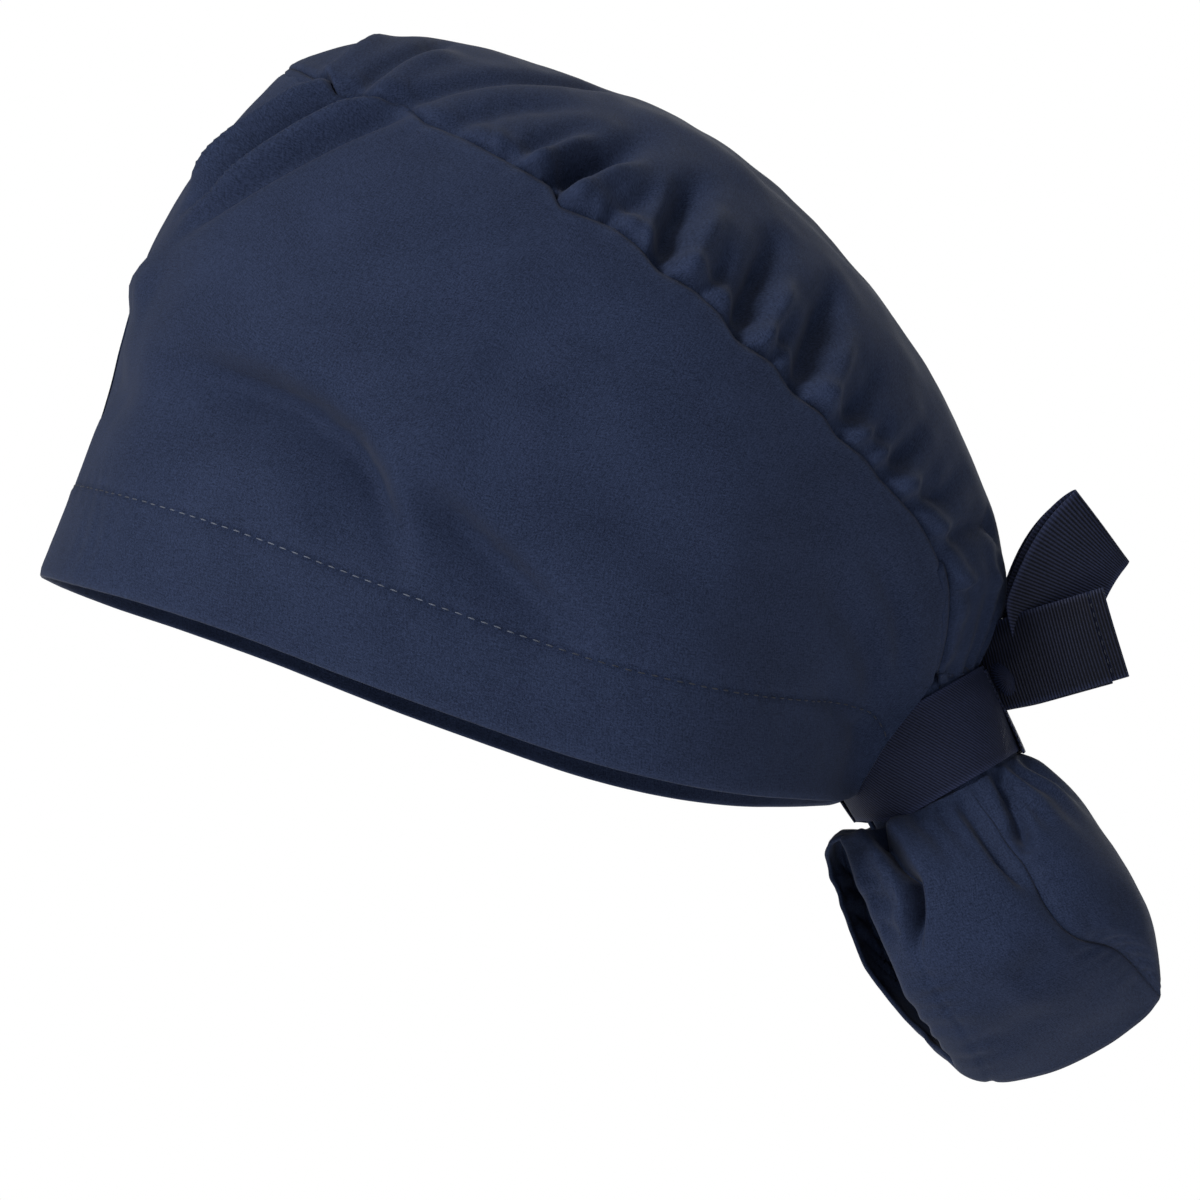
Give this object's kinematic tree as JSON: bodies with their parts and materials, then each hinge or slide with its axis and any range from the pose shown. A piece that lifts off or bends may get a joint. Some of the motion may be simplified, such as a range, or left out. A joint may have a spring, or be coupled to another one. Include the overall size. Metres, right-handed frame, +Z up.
{
  "type": "scrub cap",
  "caption": "Tie-back surgical scrub cap with a gathered crown, a deep hem, a hanging ponytail pouch open towards the nape, and a ribbon tied in a bow",
  "frame": {"origin": "middle of the head opening", "axes": "+Z up as worn on a level head, -X to the wearer's front, -Y to the wearer's left"},
  "size_m": [0.268, 0.1728, 0.2502],
  "materials": {
    "cloth": "navy cotton poplin, matt",
    "ribbon": "navy grosgrain ribbon, cross-ribbed, slight sheen"
  },
  "bodies": {
    "root": {"front_side_panel": "cloth", "crown_panel": "cloth", "pouch_front_panel": "cloth", "pouch_back_panel": "cloth", "tie_left": "ribbon", "tie_right": "ribbon", "bow_loop_left": "ribbon", "bow_loop_right": "ribbon", "bow_tail_left": "ribbon", "bow_tail_right": "ribbon", "bow_knot": "ribbon"}
  },
  "joints": []
}
